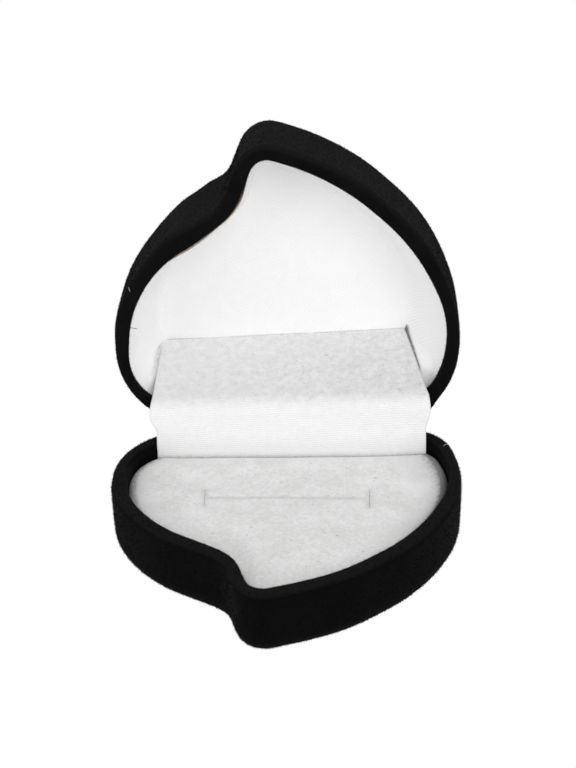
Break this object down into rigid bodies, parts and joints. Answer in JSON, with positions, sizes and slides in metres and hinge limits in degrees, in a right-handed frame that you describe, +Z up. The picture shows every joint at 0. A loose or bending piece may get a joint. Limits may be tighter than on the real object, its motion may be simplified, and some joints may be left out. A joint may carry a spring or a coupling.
{
  "type": "ring display box",
  "caption": "Free-standing swirl-heart ring box, shown open: flocked base and hinged lid, slit foam ring pad, satin-lined lid and a hinge flap.",
  "frame": {"origin": "middle of the body's width and depth, on the flat foot that the box stands on", "axes": "+Z up, +X to the right of someone who looks at the open box, +Y towards the hinge and the back face"},
  "size_m": [0.0617, 0.0799, 0.0647],
  "materials": {
    "flock_base": "matte",
    "flock_lid": "matte",
    "pad_flock": "matte",
    "foam": "matte",
    "satin_lining": "satin",
    "satin_flap": "satin",
    "wadding": "matte",
    "board": "matte",
    "lining_board": "matte",
    "flap_board": "matte",
    "leaf_steel": "satin",
    "pin_steel": "polished",
    "spring_steel": "satin"
  },
  "bodies": {
    "base": {"base_shell": "flock_base", "base_hinge_leaf": "leaf_steel", "hinge_pin": "pin_steel", "snap_spring": "spring_steel", "pad_cover": "pad_flock", "pad_foam": "foam", "pad_board": "board", "hinge_flap": "satin_flap", "hinge_flap_cards": "flap_board"},
    "lid": {"lid_shell": "flock_lid", "lid_hinge_leaf": "leaf_steel", "lid_lining_floor": "satin_lining", "lid_lining_band": "satin_lining", "lid_lining_card": "lining_board", "lid_lining_wadding": "wadding"}
  },
  "joints": [
    {"name": "lid_hinge", "type": "hinge", "parent": "base", "child": "lid", "pos_m": [0.00207, 0.0265, 0.0128], "axis": [1, 0, 0], "range_deg": [0, 100], "deforming": ["snap_spring", "hinge_flap", "hinge_flap_cards"]}
  ]
}
